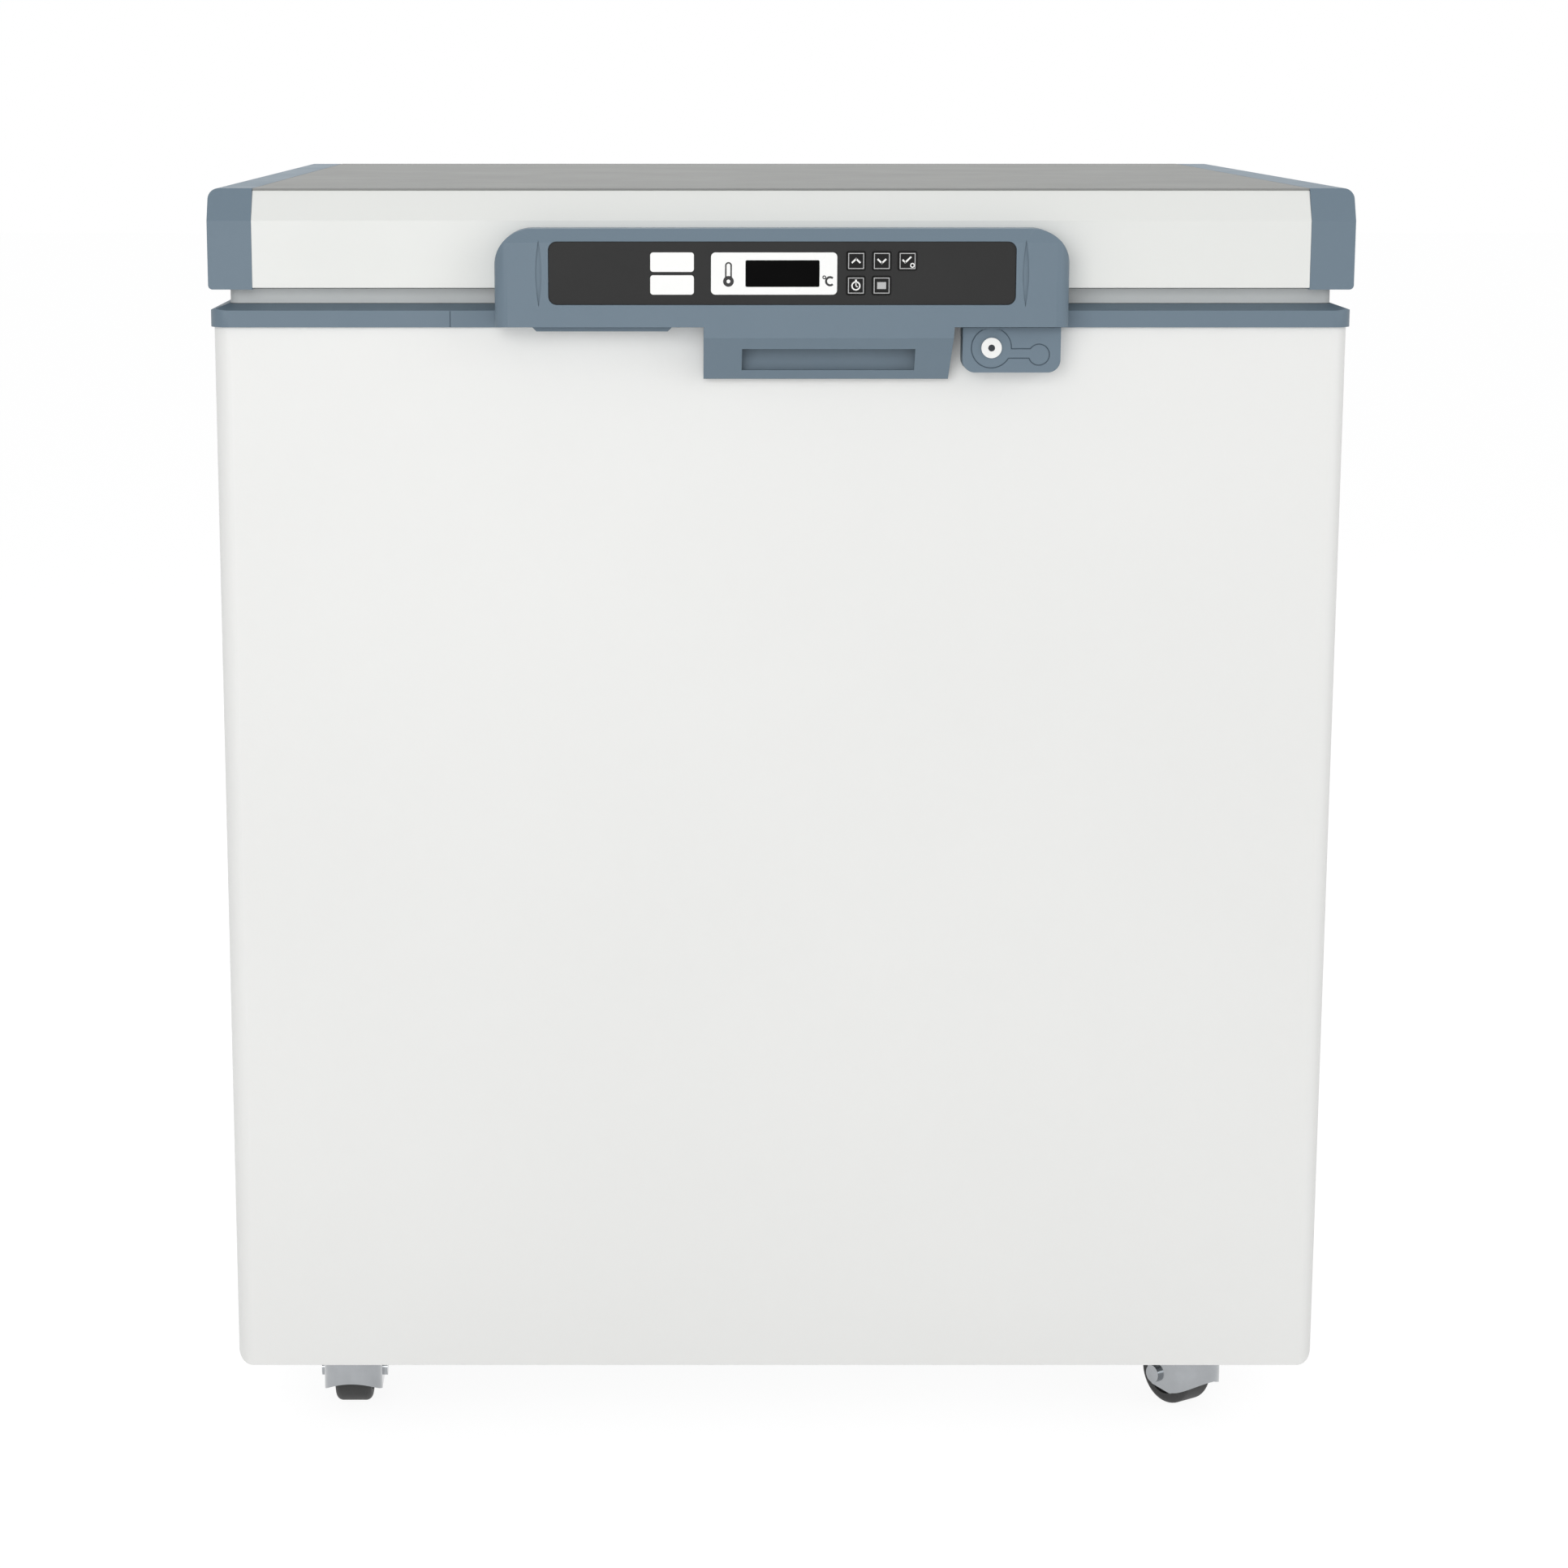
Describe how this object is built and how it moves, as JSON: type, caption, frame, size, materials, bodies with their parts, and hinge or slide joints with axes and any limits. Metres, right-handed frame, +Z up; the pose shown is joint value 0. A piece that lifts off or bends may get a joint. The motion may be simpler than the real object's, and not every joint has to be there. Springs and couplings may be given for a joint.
{
  "type": "ultra low temperature freezer",
  "caption": "Chest-type low temperature laboratory freezer with a hinged lid, a grip and control panel on the lid's front, a key lock and swivel casters.",
  "frame": {"origin": "on the floor, under the middle of the machine's outer box", "axes": "+X to the right seen from the front, +Y to the back, +Z up"},
  "size_m": [0.78, 0.7382, 0.9],
  "materials": {
    "white_steel": "satin",
    "grey_sheet": "satin",
    "zinc_steel": "satin",
    "foam": "matte",
    "tub_sheet": "satin",
    "light_plastic": "satin",
    "blue_grey_plastic": "satin",
    "gasket_rubber": "matte",
    "black_rubber": "matte",
    "black_steel": "satin",
    "fin_aluminium": "satin",
    "copper": "satin",
    "probe_steel": "satin",
    "grey_plastic": "satin",
    "black_plastic": "satin",
    "caster_chrome": "polished",
    "wheel_rubber": "matte",
    "fascia_dark": "satin",
    "bezel_white": "gloss",
    "window_black": "gloss",
    "board_green": "matte",
    "key_dark": "satin",
    "lock_steel": "satin"
  },
  "bodies": {
    "root": {"base_pan": "zinc_steel", "outer_wrap": "white_steel", "back_panel": "white_steel", "bulkhead": "zinc_steel", "foam_body": "foam", "inner_liner": "tub_sheet", "breaker_frame": "light_plastic", "rim_frame": "blue_grey_plastic", "side_grille": "white_steel", "rear_grille": "white_steel", "compressor": "black_steel", "compressor_feet": "black_rubber", "condenser": "fin_aluminium", "fan_bracket": "zinc_steel", "fan_motor": "black_steel", "filter_drier": "copper", "refrigerant_lines": "copper", "evaporator_coil": "copper", "temperature_probe": "probe_steel", "control_box": "grey_plastic", "power_inlet": "black_plastic", "access_port": "light_plastic", "port_plug": "gasket_rubber", "lock_housing": "blue_grey_plastic", "hinge_brackets": "zinc_steel", "hinge_pins": "zinc_steel", "caster_plates": "caster_chrome", "caster_bolts": "zinc_steel"},
    "lid": {"lid_front_panel": "white_steel", "lid_rear_panel": "white_steel", "lid_top_panel": "grey_sheet", "lid_end_cap_left": "blue_grey_plastic", "lid_end_cap_right": "blue_grey_plastic", "lid_foam": "foam", "lid_inner_dish": "light_plastic", "lid_gasket": "gasket_rubber", "handle_housing": "blue_grey_plastic", "control_fascia": "fascia_dark", "display_bezel": "bezel_white", "display_window": "window_black", "indicator_windows": "bezel_white", "display_board": "board_green", "hinge_arms": "zinc_steel", "lock_striker": "lock_steel"},
    "key_up": {"key_up": "key_dark"},
    "key_down": {"key_down": "key_dark"},
    "key_set": {"key_set": "key_dark"},
    "key_timer": {"key_timer": "key_dark"},
    "key_screen": {"key_screen": "key_dark"},
    "lock_cylinder": {"lock_cylinder": "lock_steel"},
    "fan_blade": {"fan_blade": "black_plastic"},
    "caster_fork_fl": {"caster_fork_fl": "caster_chrome"},
    "caster_wheel_fl": {"caster_wheel_fl": "wheel_rubber"},
    "caster_fork_fr": {"caster_fork_fr": "caster_chrome"},
    "caster_wheel_fr": {"caster_wheel_fr": "wheel_rubber"},
    "caster_fork_rl": {"caster_fork_rl": "caster_chrome"},
    "caster_wheel_rl": {"caster_wheel_rl": "wheel_rubber"},
    "caster_fork_rr": {"caster_fork_rr": "caster_chrome"},
    "caster_wheel_rr": {"caster_wheel_rr": "wheel_rubber"}
  },
  "joints": [
    {"name": "lid_hinge", "type": "hinge", "parent": "root", "child": "lid", "pos_m": [0, 0.36, 0.829], "axis": [-1, 0, 0], "range_deg": [0, 85]},
    {"name": "key_up_press", "type": "slide", "parent": "lid", "child": "key_up", "axis": [0, 1, 0], "range_m": [0, 0.0005], "stiffness_N_per_m": 600},
    {"name": "key_down_press", "type": "slide", "parent": "lid", "child": "key_down", "axis": [0, 1, 0], "range_m": [0, 0.0005], "stiffness_N_per_m": 600},
    {"name": "key_set_press", "type": "slide", "parent": "lid", "child": "key_set", "axis": [0, 1, 0], "range_m": [0, 0.0005], "stiffness_N_per_m": 600},
    {"name": "key_timer_press", "type": "slide", "parent": "lid", "child": "key_timer", "axis": [0, 1, 0], "range_m": [0, 0.0005], "stiffness_N_per_m": 600},
    {"name": "key_screen_press", "type": "slide", "parent": "lid", "child": "key_screen", "axis": [0, 1, 0], "range_m": [0, 0.0005], "stiffness_N_per_m": 600},
    {"name": "lock_turn", "type": "hinge", "parent": "root", "child": "lock_cylinder", "pos_m": [0.1425, -0.358, 0.794], "axis": [0, 1, 0], "range_deg": [0, 90]},
    {"name": "fan_spin", "type": "hinge", "parent": "root", "child": "fan_blade", "pos_m": [0.2793, -0.071, 0.1937], "axis": [0, 1, 0], "continuous": true},
    {"name": "swivel_fl", "type": "hinge", "parent": "root", "child": "caster_fork_fl", "pos_m": [-0.312, -0.257, 0.0545], "axis": [0, 0, 1], "continuous": true},
    {"name": "roll_fl", "type": "hinge", "parent": "caster_fork_fl", "child": "caster_wheel_fl", "pos_m": [-0.312, -0.242, 0.025], "axis": [1, 0, 0], "continuous": true},
    {"name": "swivel_fr", "type": "hinge", "parent": "root", "child": "caster_fork_fr", "pos_m": [0.312, -0.257, 0.0545], "axis": [0, 0, 1], "continuous": true},
    {"name": "roll_fr", "type": "hinge", "parent": "caster_fork_fr", "child": "caster_wheel_fr", "pos_m": [0.3034, -0.24471, 0.025], "axis": [0.8192, 0.5736, 0], "continuous": true},
    {"name": "swivel_rl", "type": "hinge", "parent": "root", "child": "caster_fork_rl", "pos_m": [-0.312, 0.265, 0.0545], "axis": [0, 0, 1], "continuous": true},
    {"name": "roll_rl", "type": "hinge", "parent": "caster_fork_rl", "child": "caster_wheel_rl", "pos_m": [-0.312, 0.28, 0.025], "axis": [1, 0, 0], "continuous": true},
    {"name": "swivel_rr", "type": "hinge", "parent": "root", "child": "caster_fork_rr", "pos_m": [0.312, 0.265, 0.0545], "axis": [0, 0, 1], "continuous": true},
    {"name": "roll_rr", "type": "hinge", "parent": "caster_fork_rr", "child": "caster_wheel_rr", "pos_m": [0.312, 0.28, 0.025], "axis": [1, 0, 0], "continuous": true}
  ]
}
